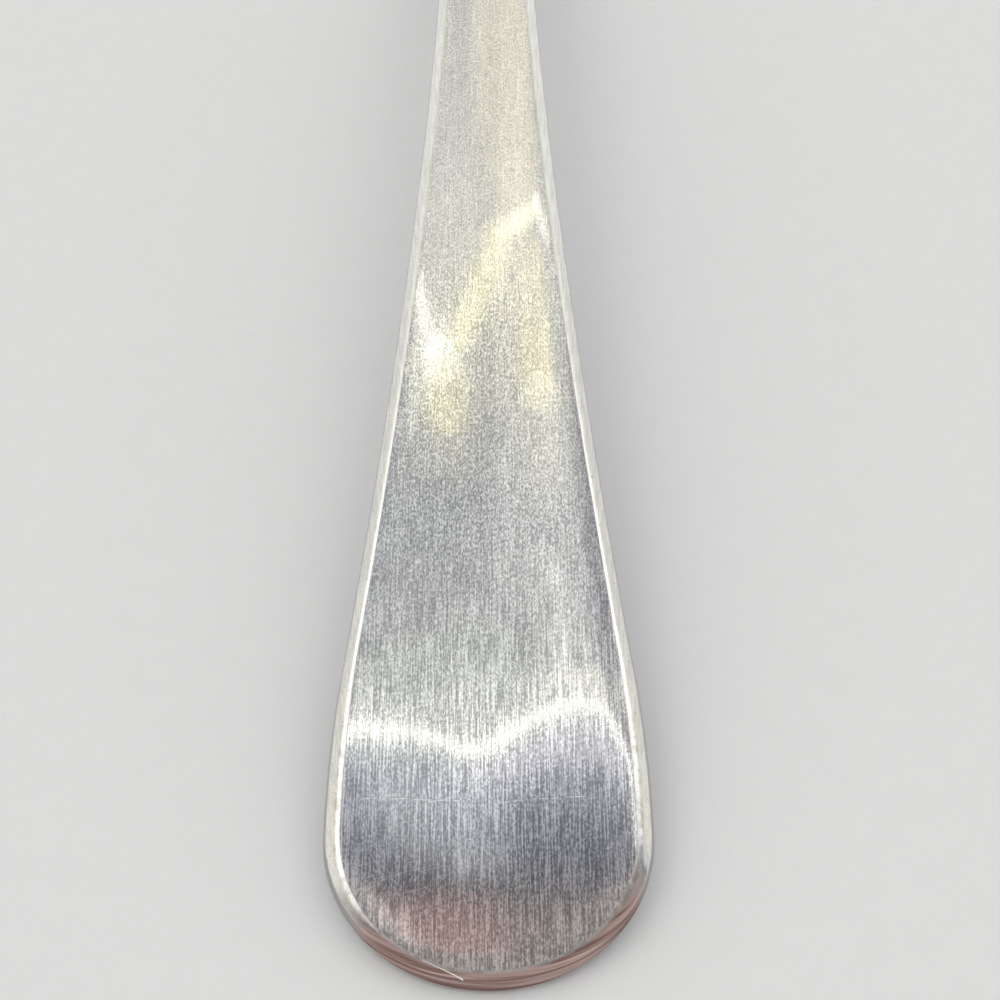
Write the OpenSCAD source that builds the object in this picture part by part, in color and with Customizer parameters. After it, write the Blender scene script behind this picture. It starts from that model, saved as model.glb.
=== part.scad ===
// Cold meat fork: a wide round handle end, a long tapering stem, a narrow neck,
// a flared root and four curved tines, all of one steel blank.
// The fork lies along Y with its handle end at -Y, its points at +Y and its top face up.
// It rests on the flat belly of the root and on the back edge of the handle end, at Z = 0.

/* [Lengths along the fork] */
// Length of the wide round end of the handle
end_length = 26; // [20:1:40]
// Length of the tapering stem
stem_length = 92; // [60:1:130]
// Length of the neck
neck_length = 22; // [16:1:32]
// Length of the flared root that carries the tines
root_length = 32; // [24:1:44]
// Length of each tine beyond the root
tine_length = 50; // [34:1:70]

/* [Widths] */
// Width of the handle at its round end
end_width = 25; // [18:0.5:32]
// Depth of the half ellipse that rounds the end
end_round = 11.5; // [7:0.5:16]
// Radius of the shoulder between the round end and the hollow side of the stem
shoulder_radius = 110; // [40:5:160]
// Width of the neck where it meets the root
neck_width = 9; // [6:0.5:13]
// Radius of the hollow side where the root leaves the neck
flare_radius = 26; // [16:1:32]
// Width across the tines at the root
head_width = 34; // [28:0.5:44]
// Width across the centre lines of the outer tines at their points
point_span = 27.6; // [22:0.2:36]
// Width of each slot between two tines at the root
slot_width = 4.6; // [3:0.1:6]
// Width of a tine just before its round point
point_width = 2.4; // [1.4:0.1:3.6]
// Length of the round point of a tine
point_round = 1.8; // [0.8:0.1:4]

/* [Thicknesses] */
// Thickness of the handle at its end
end_thickness = 1.6; // [1.4:0.1:3]
// Thickness of the neck
neck_thickness = 3.2; // [2:0.1:4.5]
// Thickness of the root
root_thickness = 2.2; // [1.6:0.1:3]
// Thickness of a tine just before its round point
point_thickness = 1.2; // [0.8:0.1:1.6]

/* [Side view] */
// Rise of the arched handle from its end to the crest where stem and neck meet
arch_rise = 12; // [6:0.5:20]
// Radius of the crest as the neck turns down to the root
crest_radius = 46; // [30:1:56]
// Length of the flat belly under the root
belly_length = 10; // [6:0.5:14]
// Rise of the tines from the belly to their points
tine_rise = 10; // [4:0.5:14]

/* [Edges] */
// Width of the polished bevel along the top edge of the handle
bevel_width = 0.8; // [0.3:0.05:1.2]
// Depth of the polished bevel along the top edge of the handle
bevel_depth = 0.5; // [0.2:0.05:0.7]
// Width of that bevel at the tip of the round end
end_bevel_width = 0.5; // [0.3:0.05:1.2]
// Depth of that bevel at the tip of the round end
end_bevel_depth = 0.35; // [0.2:0.05:0.7]
// How far the top of the handle's wall stands in from its foot
edge_lean = 0.2; // [0:0.05:0.4]
// Width and depth of the bevel along the top edges of the tines
tine_bevel = 0.4; // [0.2:0.05:0.5]
// Width and depth of the small bevel along the back edges
back_bevel = 0.3; // [0.15:0.05:0.4]
// How far the top face of the handle end falls from its middle to its sides
crown = 0.2; // [0.05:0.05:0.4]

/* [Hidden] */

// Finish of the steel
satin_steel = "#b9b7b2";
polished_steel = "#c9c6c0";

// Stations along the fork, measured from the handle end
stem_start = end_length;
neck_start = stem_start + stem_length;
root_start = neck_start + neck_length;
tine_start = root_start + root_length;
belly_start = tine_start - belly_length;
point_start = tine_start + tine_length - point_round;
overall_length = tine_start + tine_length;

// Tines and slots
tine_count = 4;
slot_count = tine_count - 1;
tine_width = (head_width - slot_count * slot_width) / tine_count;
tine_pitch = tine_width + slot_width;
point_pitch = point_span / slot_count;
// Power of the tapers, so that a tine leaves the root without a kink
taper_power = 1.5;

// Arcs of the side view
arch_radius = (pow(neck_start, 2) + pow(arch_rise, 2)) / (2 * arch_rise);
tine_radius = (pow(tine_length, 2) + pow(tine_rise, 2)) / (2 * tine_rise);

// Number of steps along each region and across the top face, which is straight across the root
end_steps = 12;
end_side_steps = 5;
stem_steps = 23;
neck_steps = 11;
flare_steps = 16;
belly_steps = 3;
tine_steps = 20;
point_steps = 5;
across_steps = 8;
root_across_steps = 1;
// Turn of the first section round the end, and of the last one round a point, in degrees
first_turn = 1.5;
last_turn = 72;
// Sides of a round slot end
slot_sides = 48;
// Cutters run past the faces that they cut by this much
overcut = 1;

// Evenly spaced values from one end to the other, both included
function spaced(first, last, count) = [for (i = [0 : count]) first + (last - first) * i / count];

// Smooth step from 0 to 1
function eased(share) =
    let (held = min(1, max(0, share)))
    held * held * (3 - 2 * held);

// How far a circle of this radius falls away from its tangent
function arc_fall(radius, along) = radius - sqrt(radius * radius - along * along);

// Two arcs that meet in a tangent and carry a curve from level, over a run and a rise, to level again
function two_arcs(along, run, rise, first_radius) =
    let (both_radii = (run * run + rise * rise) / (2 * rise))
    along < run * first_radius / both_radii
        ? arc_fall(first_radius, along)
        : rise - arc_fall(both_radii - first_radius, run - along);

// Half of the width of the blank beyond the round end
function half_width(station) =
    station < root_start
        ? end_width / 2 - two_arcs(station - end_round, root_start - end_round,
                                   (end_width - neck_width) / 2, shoulder_radius)
        : neck_width / 2 + two_arcs(station - root_start, root_length,
                                    (head_width - neck_width) / 2, flare_radius);

// Turn round the half ellipse of the end that a station stands for, in degrees
function end_turn(station) = station < end_round ? acos(1 - station / end_round) : 90;

// Half width and place along the fork of the outline moved inwards by an inset
function outline_x(station, inset) =
    station < end_round
        ? (end_width / 2 - inset) * sin(end_turn(station))
        : half_width(station) - inset;
function outline_y(station, inset) =
    station < end_round
        ? end_round - (end_round - inset) * cos(end_turn(station))
        : station;

// Thickness of the blank, square to its middle surface
function thickness(station) =
    let (thickest = (neck_start + root_start) / 2)
    station < thickest
        ? end_thickness + (neck_thickness - end_thickness) * eased(station / thickest)
    : station < tine_start
        ? neck_thickness + (root_thickness - neck_thickness)
              * eased((station - thickest) / (belly_start - thickest))
        : root_thickness + (point_thickness - root_thickness) * (station - tine_start) / tine_length;

// Height of the middle surface above the end of the arch
function arch_height(station) = arch_rise - arc_fall(arch_radius, neck_start - station);

// Slope of the middle surface of the arch, in degrees
function arch_slope(station) = asin((neck_start - station) / arch_radius);

// Height that puts the back edge of the handle end at Z = 0
end_height = thickness(back_bevel) / 2 / cos(arch_slope(back_bevel)) - arch_height(back_bevel);
crest_height = end_height + arch_rise;
belly_height = root_thickness / 2;

// Height of the middle surface of the blank
function middle(station) =
    station < neck_start ? end_height + arch_height(station)
    : station < belly_start
        ? crest_height - two_arcs(station - neck_start, belly_start - neck_start,
                                  crest_height - belly_height, crest_radius)
    : station < tine_start ? belly_height
    : belly_height + arc_fall(tine_radius, station - tine_start);

// Half of the upright depth of the blank, which is more than half its thickness where it slopes
slope_reach = 0.05;
function half_depth(station) =
    let (rise = middle(station + slope_reach) - middle(station - slope_reach),
         slope = station > belly_start - slope_reach && station < tine_start + slope_reach
             ? 0 : rise / (2 * slope_reach))
    thickness(station) / 2 * sqrt(1 + slope * slope);

// The bevel widens from the tip of the round end to its sides, and narrows to the tines' over the root
function end_share(station) = eased(station / end_round);
function bevel_share(station) = eased((station - root_start) / (belly_start - root_start));
function bevel_size(station, at_end, at_side) =
    station < end_round
        ? at_end + (at_side - at_end) * end_share(station)
        : at_side + (tine_bevel - at_side) * bevel_share(station);
function top_bevel(station) = bevel_size(station, end_bevel_width, bevel_width);
function top_depth(station) = bevel_size(station, end_bevel_depth, bevel_depth);

// The wall of the handle leans, and stands upright where the tines start
function wall_lean(station) = edge_lean * (1 - bevel_share(station));

// The crown of the handle fades out along the neck
function crown_fall(station, x) =
    crown * pow(2 * x / end_width, 2) * (1 - eased((station - neck_start) / neck_length));

// Points of a section of the handle, neck or root, round from the left of the top face
function top_point(station, share) =
    let (inset = wall_lean(station) + top_bevel(station),
         x = share * outline_x(station, inset),
         y = outline_y(station, inset))
    [x, y, middle(y) + half_depth(y) - crown_fall(y, x)];
function edge_point(station, side) =
    let (y = outline_y(station, wall_lean(station)),
         x = side * outline_x(station, wall_lean(station)))
    [x, y, middle(y) + half_depth(y) - crown_fall(y, x) - top_depth(station)];
function wall_point(station, side) =
    let (y = outline_y(station, 0))
    [side * outline_x(station, 0), y, middle(y) - half_depth(y) + back_bevel];
function back_point(station, side) =
    let (y = outline_y(station, back_bevel))
    [side * outline_x(station, back_bevel), y, middle(y) - half_depth(y)];
function blank_section(station, across = across_steps) = concat(
    [for (share = spaced(-1, 1, across)) top_point(station, share)],
    [edge_point(station, 1), wall_point(station, 1), back_point(station, 1)],
    [back_point(station, -1), wall_point(station, -1), edge_point(station, -1)]);

// Faces that close the first section at the tip of the round end, in three strips
tip_faces =
    let (right = across_steps + 1, left = across_steps + 6)
    concat([for (i = [0 : across_steps]) [left, i, i + 1]],
           [[left, right, right + 1], [left, right + 1, left - 1]],
           [[left - 1, right + 1, right + 2], [left - 1, right + 2, left - 2]]);

// Solid through a row of sections that all have the same number of points
module loft(sections, first_faces = undef) {
    size = len(sections[0]);
    last = len(sections) - 1;
    first_cap = is_undef(first_faces) ? [[for (j = [0 : size - 1]) j]] : first_faces;
    last_cap = [[for (j = [0 : size - 1]) last * size + size - 1 - j]];
    sides = [for (i = [0 : last - 1], j = [0 : size - 1])
        let (near = i * size, far = near + size, next = (j + 1) % size)
        each [[near + j, far + j, far + next], [near + j, far + next, near + next]]];
    translate([0, -overall_length / 2, 0])
        polyhedron([for (section = sections) each section], concat(first_cap, sides, last_cap));
}

// Centre line and half width of a tine, with 0 for the left one
function tine_share(station) = pow((station - tine_start) / tine_length, taper_power);
function tine_x(index, station) =
    (index - slot_count / 2) * (tine_pitch + (point_pitch - tine_pitch) * tine_share(station));
function tine_half(station) = (tine_width + (point_width - tine_width) * tine_share(station)) / 2;

// Section of a tine, drawn in by the last share as the point rounds off
function tine_section(index, station, draw) =
    let (x = tine_x(index, station),
         half = tine_half(station) * draw,
         depth = half_depth(station) * draw,
         bevel = tine_bevel * draw,
         back = back_bevel * draw,
         top = middle(station) + depth,
         bottom = middle(station) - depth)
    [[x - half + bevel, station, top], [x + half - bevel, station, top],
     [x + half, station, top - bevel], [x + half, station, bottom + back],
     [x + half - back, station, bottom], [x - half + back, station, bottom],
     [x - half, station, bottom + back], [x - half, station, top - bevel]];

module tine(index) {
    color(satin_steel)
        loft(concat(
            [for (station = spaced(tine_start, point_start, tine_steps))
                tine_section(index, station, 1)],
            [for (turn = spaced(last_turn / point_steps, last_turn, point_steps - 1))
                tine_section(index, point_start + point_round * sin(turn) / sin(last_turn), cos(turn))]));
}

// Round end of a slot, with its bevels at the top and the back of the root
module slot_end(index) {
    $fn = slot_sides;
    radius = slot_width / 2;
    translate([(index - (slot_count - 1) / 2) * tine_pitch, tine_start - overall_length / 2, 0]) {
        translate([0, 0, -overcut])
            cylinder(h = root_thickness + 2 * overcut, r = radius);
        translate([0, 0, root_thickness - tine_bevel])
            cylinder(h = tine_bevel + overcut, r1 = radius, r2 = radius + tine_bevel + overcut);
        translate([0, 0, -overcut])
            cylinder(h = back_bevel + overcut, r1 = radius + back_bevel + overcut, r2 = radius);
    }
}

module handle_end() {
    turns = spaced(first_turn, 90, end_steps);
    round_stations = [for (turn = turns) end_round * (1 - cos(turn))];
    side_stations = spaced(end_round, end_length, end_side_steps);
    stations = concat([for (i = [0 : end_steps - 1]) round_stations[i]], side_stations);
    color(satin_steel)
        loft([for (station = stations) blank_section(station)], tip_faces);
}

module stem() {
    color(satin_steel)
        loft([for (station = spaced(stem_start, neck_start, stem_steps)) blank_section(station)]);
}

module neck() {
    color(polished_steel)
        loft([for (station = spaced(neck_start, root_start, neck_steps)) blank_section(station)]);
}

module tine_root() {
    flare = spaced(root_start, belly_start, flare_steps);
    belly = spaced(belly_start, tine_start, belly_steps);
    stations = concat(flare, [for (i = [1 : belly_steps]) belly[i]]);
    color(polished_steel)
        difference() {
            loft([for (station = stations) blank_section(station, root_across_steps)]);
            for (index = [0 : slot_count - 1])
                slot_end(index);
        }
}

module outer_left_tine() {
    tine(0);
}

module inner_left_tine() {
    tine(1);
}

module inner_right_tine() {
    tine(2);
}

module outer_right_tine() {
    tine(3);
}

handle_end();
stem();
neck();
tine_root();
outer_left_tine();
inner_left_tine();
inner_right_tine();
outer_right_tine();
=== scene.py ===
"""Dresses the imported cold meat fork: a satin steel blank with polished edges, on a pale studio floor.

All sizes are in metres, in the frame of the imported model: +Y runs from the handle end to the points of
the tines, +Z is up and Z = 0 is the surface that the fork lies on. A station is a distance along the
fork from the tip of its handle end.
"""

import logging
import math
from collections.abc import Iterable
from dataclasses import dataclass, field
from enum import Enum

import bpy
import numpy as np
from mathutils import Matrix, Vector


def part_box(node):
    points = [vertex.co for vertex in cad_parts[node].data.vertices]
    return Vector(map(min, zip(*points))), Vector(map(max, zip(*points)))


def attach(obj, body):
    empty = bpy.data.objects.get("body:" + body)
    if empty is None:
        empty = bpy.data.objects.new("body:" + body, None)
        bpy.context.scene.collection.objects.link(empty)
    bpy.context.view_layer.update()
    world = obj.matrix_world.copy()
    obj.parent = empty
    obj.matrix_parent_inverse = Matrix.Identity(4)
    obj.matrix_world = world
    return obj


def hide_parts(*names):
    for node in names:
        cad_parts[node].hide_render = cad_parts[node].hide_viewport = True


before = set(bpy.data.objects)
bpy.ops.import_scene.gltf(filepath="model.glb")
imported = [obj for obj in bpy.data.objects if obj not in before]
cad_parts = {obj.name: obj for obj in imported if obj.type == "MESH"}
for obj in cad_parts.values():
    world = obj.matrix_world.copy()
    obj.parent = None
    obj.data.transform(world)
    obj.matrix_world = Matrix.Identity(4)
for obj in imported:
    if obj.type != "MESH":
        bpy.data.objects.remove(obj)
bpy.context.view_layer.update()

LOG = logging.getLogger("cold_meat_fork")
MM = 0.001
TINY = 1.0e-20
BODY = "root"
BRUSH_MAP = "brush_map"

Array = np.ndarray
Pair = tuple[float, float]
Triple = tuple[float, float, float]
Colour = tuple[float, float, float, float]


class Finish(Enum):
    """Which finish a face of the blank takes, as its place in a piece's list of materials."""

    FACE = 0
    EDGE = 1


class Tine(Enum):
    """The four tines, left to right, by their place in the row and their node."""

    OUTER_LEFT = (0, "outer_left_tine")
    INNER_LEFT = (1, "inner_left_tine")
    INNER_RIGHT = (2, "inner_right_tine")
    OUTER_RIGHT = (3, "outer_right_tine")


def blend(low: Array | float, high: Array | float, share: Array | float) -> Array | float:
    """Goes from one value to another as a share goes from 0 to 1."""
    return low + (high - low) * share


def eased(value: Array | float, start: float, finish: float) -> Array:
    """Smooth step from 0 at one value to 1 at another."""
    share = np.clip((value - start) / (finish - start), 0.0, 1.0)
    return share * share * (3.0 - 2.0 * share)


def unit(vectors: Array) -> Array:
    """Directions of one vector, or of rows of them."""
    return vectors / np.maximum(np.linalg.norm(vectors, axis=-1, keepdims=True), TINY)


def arc_fall(radius: float, along: Array) -> Array:
    """How far a circle falls away from its tangent."""
    return radius - np.sqrt(np.maximum(radius * radius - along * along, 0.0))


def two_arcs(along: Array, run: float, rise: float, first_radius: float) -> Array:
    """Two arcs that meet in a tangent and carry a curve from level to level.

    Args:
        along: Distance from the start of the curve.
        run: Length of the curve along its level ends.
        rise: Height from the first level to the second.
        first_radius: Radius of the arc at the start.

    Returns:
        The height above the first level.
    """
    both_radii = (run * run + rise * rise) / (2.0 * rise)
    first = arc_fall(first_radius, along)
    second = rise - arc_fall(both_radii - first_radius, run - along)
    return np.where(along < run * first_radius / both_radii, first, second)


def section_finishes(across: int, edge_points: int) -> list[Finish]:
    """Finish of the faces round a section: satin on top and back, polished on the edges.

    Args:
        across: Count of points on the top face, and on the back.
        edge_points: Count of points on each edge.

    Returns:
        The finish between each point and the next, from the left of the top face.
    """
    satin = [Finish.FACE] * (across + 1)
    polished = [Finish.EDGE] * (edge_points - 1)
    return satin[1:] + polished + satin + polished + [Finish.FACE]


@dataclass(frozen=True)
class Dimple:
    """A shallow rise or hollow that hand polishing left in the top face of the handle."""

    station: float
    x: float
    length: float
    width: float
    height: float

    def lift(self, x: Array, station: Array) -> Array:
        """Works out the rise at a place on the top face.

        Args:
            x: Place across the fork.
            station: Place along the fork.

        Returns:
            The height there, below zero in a hollow.
        """
        along = (station - self.station) / self.length
        across = (x - self.x) / self.width
        return self.height * np.exp(-along * along - across * across)


HANDLE_DIMPLES = (
    Dimple(station=23.0 * MM, x=-1.2 * MM, length=7.0 * MM, width=3.0 * MM, height=-0.078 * MM),
    Dimple(station=27.0 * MM, x=6.6 * MM, length=7.0 * MM, width=3.6 * MM, height=0.093 * MM),
    Dimple(station=27.0 * MM, x=9.2 * MM, length=7.0 * MM, width=1.4 * MM, height=0.03 * MM),
    Dimple(station=27.0 * MM, x=-11.5 * MM, length=7.0 * MM, width=1.7 * MM, height=0.08 * MM),
)


@dataclass(frozen=True)
class Rim:
    """The edge of a section: top bevel, wall and back bevel, with their corners rounded off."""

    lean: float
    bevel_width: float
    bevel_depth: float
    back_bevel: float
    shoulder_round: float
    outer_rounds: Triple = (0.3 * MM, 0.1 * MM, 0.1 * MM)
    lead: float = 1.0 * MM
    CORNER_STEPS = 4

    def chain(self, depth: float) -> Array:
        """Points of the edge from the top face to the back.

        Args:
            depth: Upright depth of the section at its edge.

        Returns:
            Rows of inset from the outline and depth below the top face.
        """
        shoulder = self.lean + self.bevel_width
        corners = np.array((
            (shoulder + self.lead, 0.0),
            (shoulder, 0.0),
            (self.lean, self.bevel_depth),
            (0.0, depth - self.back_bevel),
            (self.back_bevel, depth),
            (self.back_bevel + self.lead, depth),
        ))
        radii = (self.shoulder_round, *self.outer_rounds)
        points = []
        for before, corner, after, radius in zip(corners, corners[1:], corners[2:], radii):
            into = unit(corner - before)
            out = unit(after - corner)
            turn = math.acos(float(np.clip(into @ out, -1.0, 1.0)))
            reach = radius * math.tan(turn / 2.0)
            centre = corner + unit(out - into) * radius / math.cos(turn / 2.0)
            start = corner - into * reach - centre
            finish = corner + out * reach - centre
            for share in np.linspace(0.0, 1.0, self.CORNER_STEPS + 1):
                arm = start * math.sin((1.0 - share) * turn) + finish * math.sin(share * turn)
                points.append(centre + arm / math.sin(turn))
        return np.array(points)


@dataclass(frozen=True)
class Blank:
    """The shape of the steel blank: its plan, its side view and its thickness along the fork."""

    overall_length: float
    stem_start: float
    neck_start: float
    root_start: float
    tine_start: float
    end_width: float
    head_width: float
    end_round: float = 11.5 * MM
    shoulder_radius: float = 110.0 * MM
    neck_width: float = 9.0 * MM
    flare_radius: float = 26.0 * MM
    slot_width: float = 4.6 * MM
    point_span: float = 27.6 * MM
    point_width: float = 2.4 * MM
    point_round: float = 1.8 * MM
    end_thickness: float = 1.6 * MM
    neck_thickness: float = 3.2 * MM
    root_thickness: float = 2.2 * MM
    point_thickness: float = 1.2 * MM
    arch_rise: float = 12.0 * MM
    crest_radius: float = 46.0 * MM
    belly_length: float = 10.0 * MM
    tine_rise: float = 10.0 * MM
    bevel_width: float = 0.8 * MM
    bevel_depth: float = 0.5 * MM
    end_bevel_width: float = 0.35 * MM
    end_bevel_depth: float = 0.28 * MM
    edge_lean: float = 0.2 * MM
    shoulder_round: float = 0.85 * MM
    worn_shoulder_round: float = 1.3 * MM
    worn_stations: Triple = (7.0 * MM, 18.0 * MM, 28.0 * MM)
    tine_bevel: float = 0.4 * MM
    tine_shoulder_round: float = 0.3 * MM
    back_bevel: float = 0.3 * MM
    crown: float = 0.2 * MM
    roll_width: float = 2.2 * MM
    roll_depth: float = 0.05 * MM
    tine_count: int = 4
    taper_power: float = 1.5
    dimples: tuple[Dimple, ...] = HANDLE_DIMPLES
    SLOPE_REACH = 0.05 * MM

    @classmethod
    def from_frame(cls) -> "Blank":
        """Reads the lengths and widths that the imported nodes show.

        Returns:
            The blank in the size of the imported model.
        """
        end_low, end_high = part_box("handle_end")
        stem_low, stem_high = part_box("stem")
        root_low, root_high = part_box("tine_root")
        tine_low, tine_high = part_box(Tine.OUTER_LEFT.value[1])
        tip = -tine_high.y
        return cls(
            overall_length=2.0 * tine_high.y,
            stem_start=stem_low.y - tip,
            neck_start=stem_high.y - tip,
            root_start=root_low.y - tip,
            tine_start=tine_low.y - tip,
            end_width=end_high.x - end_low.x,
            head_width=root_high.x - root_low.x,
        )

    @property
    def tip(self) -> float:
        """Y of the tip of the handle end."""
        return -self.overall_length / 2.0

    @property
    def belly_start(self) -> float:
        """Station where the flat belly of the root starts."""
        return self.tine_start - self.belly_length

    @property
    def tine_length(self) -> float:
        """Length of a tine beyond the root."""
        return self.overall_length - self.tine_start

    @property
    def tine_width(self) -> float:
        """Width of a tine at the root."""
        return (self.head_width - (self.tine_count - 1) * self.slot_width) / self.tine_count

    @property
    def tine_pitch(self) -> float:
        """Distance between the centre lines of neighbouring tines at the root."""
        return self.tine_width + self.slot_width

    @property
    def tine_radius(self) -> float:
        """Radius of the arc that a tine follows in the side view."""
        return (self.tine_length ** 2 + self.tine_rise ** 2) / (2.0 * self.tine_rise)

    @property
    def arch_radius(self) -> float:
        """Radius of the arc that the handle follows in the side view."""
        return (self.neck_start ** 2 + self.arch_rise ** 2) / (2.0 * self.arch_rise)

    def half_width(self, station: Array) -> Array:
        """Works out half of the width.

        Args:
            station: Station on the outline, beyond the round end.

        Returns:
            Half of the width there.
        """
        handle = self.end_width / 2.0 - two_arcs(
            station - self.end_round, self.root_start - self.end_round,
            (self.end_width - self.neck_width) / 2.0, self.shoulder_radius)
        root = self.neck_width / 2.0 + two_arcs(
            station - self.root_start, self.tine_start - self.root_start,
            (self.head_width - self.neck_width) / 2.0, self.flare_radius)
        return np.where(station < self.root_start, handle, root)

    def outline(self, station: Array, inset: Array) -> tuple[Array, Array]:
        """The outline moved inwards.

        Args:
            station: Station on the outline itself.
            inset: How far inwards the point lies.

        Returns:
            Half width and station of the moved point.
        """
        turned = np.arccos(np.clip(1.0 - station / self.end_round, 0.0, 1.0))
        in_round = station < self.end_round
        round_x = (self.end_width / 2.0 - inset) * np.sin(turned)
        round_along = self.end_round - (self.end_round - inset) * np.cos(turned)
        x = np.where(in_round, round_x, self.half_width(station) - inset)
        return x, np.where(in_round, round_along, station)

    def thickness(self, station: Array) -> Array:
        """Works out the thickness square to the middle surface.

        Args:
            station: Place along the fork.

        Returns:
            The thickness there.
        """
        thickest = (self.neck_start + self.root_start) / 2.0
        handle = blend(self.end_thickness, self.neck_thickness, eased(station, 0.0, thickest))
        head = blend(self.neck_thickness, self.root_thickness, eased(station, thickest, self.belly_start))
        return np.where(station < thickest, handle, head)

    def arch_height(self, station: Array) -> Array:
        """Height of the arched middle surface above the end of the arch."""
        return self.arch_rise - arc_fall(self.arch_radius, self.neck_start - station)

    def middle(self, station: Array) -> Array:
        """Works out the middle surface of a handle, neck and root whose back rests on Z = 0.

        Args:
            station: Place along the fork.

        Returns:
            The height there.
        """
        edge = self.back_bevel
        edge_slope = math.asin((self.neck_start - edge) / self.arch_radius)
        edge_depth = float(self.thickness(edge)) / 2.0 / math.cos(edge_slope)
        end_height = edge_depth - float(self.arch_height(edge))
        belly = self.root_thickness / 2.0
        crest = end_height + self.arch_rise
        handle = end_height + self.arch_height(station)
        drop = crest - two_arcs(station - self.neck_start, self.belly_start - self.neck_start,
                                crest - belly, self.crest_radius)
        return np.where(station < self.neck_start, handle, np.where(station < self.belly_start, drop, belly))

    def half_depth(self, station: Array) -> Array:
        """Works out half of the upright depth, which is more than half the thickness where the blank slopes.

        Args:
            station: Place along the fork.

        Returns:
            Half of the depth there.
        """
        reach = self.SLOPE_REACH
        slope = (self.middle(station + reach) - self.middle(station - reach)) / (2.0 * reach)
        slope = np.where(station > self.belly_start - reach, 0.0, slope)
        return self.thickness(station) / 2.0 * np.sqrt(1.0 + slope * slope)

    def from_shoulder(self, x: Array, station: Array) -> Array:
        """How far inside the shoulder a place on the handle's top face lies.

        Args:
            x: Place across the fork.
            station: Place along the fork.

        Returns:
            The distance to the sharp shoulder, towards the centre of the round in the round end.
        """
        inset = self.edge_lean + self.bevel_size(station, self.end_bevel_width, self.bevel_width)
        across = np.abs(x) / (self.end_width / 2.0 - inset)
        along = (self.end_round - station) / (self.end_round - inset)
        reach = np.maximum(np.hypot(across, along), TINY)
        in_round = (1.0 / reach - 1.0) * np.hypot(x, self.end_round - station)
        return np.where(station < self.end_round, in_round, self.half_width(station) - inset - np.abs(x))

    def top(self, x: Array, station: Array) -> Array:
        """Height of the top face, with its crown, the roll towards its edges and the dimples of its polish.

        Args:
            x: Place across the fork.
            station: Place along the fork.

        Returns:
            The height above Z = 0.
        """
        fade = 1.0 - eased(station, self.neck_start, self.root_start)
        near_edge = np.clip(1.0 - self.from_shoulder(x, station) / self.roll_width, 0.0, 1.0)
        height = self.middle(station) + self.half_depth(station)
        height = height - self.crown * (2.0 * x / self.end_width) ** 2 * fade
        height = height - self.roll_depth * near_edge ** 2 * fade
        for dimple in self.dimples:
            height = height + dimple.lift(x, station)
        return height

    def back(self, station: Array) -> Array:
        """Height of the back face."""
        return self.middle(station) - self.half_depth(station)

    def tine_share(self, station: Array | float) -> Array:
        """How far the edge has gone over from the handle's to the tines'."""
        return eased(station, self.root_start, self.belly_start)

    def bevel_size(self, station: Array | float, at_end: float, at_side: float) -> Array:
        """Size of the bevel, which widens round the handle end and narrows to the tines' over the root.

        Args:
            station: Place along the fork.
            at_end: Size at the tip of the handle end.
            at_side: Size along the sides of the handle.

        Returns:
            The size there.
        """
        round_end = blend(at_end, at_side, eased(station, 0.0, self.end_round))
        beyond = blend(at_side, self.tine_bevel, self.tine_share(station))
        return np.where(station < self.end_round, round_end, beyond)

    def shoulder_round_at(self, station: float) -> float:
        """Works out the round of the shoulder, which is worn beside the handle end and sharper on the tines.

        Args:
            station: Station on the outline.

        Returns:
            The radius there.
        """
        full, worn_last, sharp_again = self.worn_stations
        worn = eased(station, 0.0, full) * (1.0 - eased(station, worn_last, sharp_again))
        radius = blend(self.shoulder_round, self.worn_shoulder_round, worn)
        return float(blend(radius, self.tine_shoulder_round, self.tine_share(station)))

    def edge(self, station: float) -> Array:
        """Points of the blank's edge, from the top face to the back.

        Args:
            station: Station on the outline.

        Returns:
            Rows of inset from the outline and depth below the top face.
        """
        rim = Rim(
            lean=self.edge_lean * (1.0 - float(self.tine_share(station))),
            bevel_width=float(self.bevel_size(station, self.end_bevel_width, self.bevel_width)),
            bevel_depth=float(self.bevel_size(station, self.end_bevel_depth, self.bevel_depth)),
            back_bevel=self.back_bevel,
            shoulder_round=self.shoulder_round_at(station),
        )
        return rim.chain(2.0 * float(self.half_depth(station)))


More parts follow.
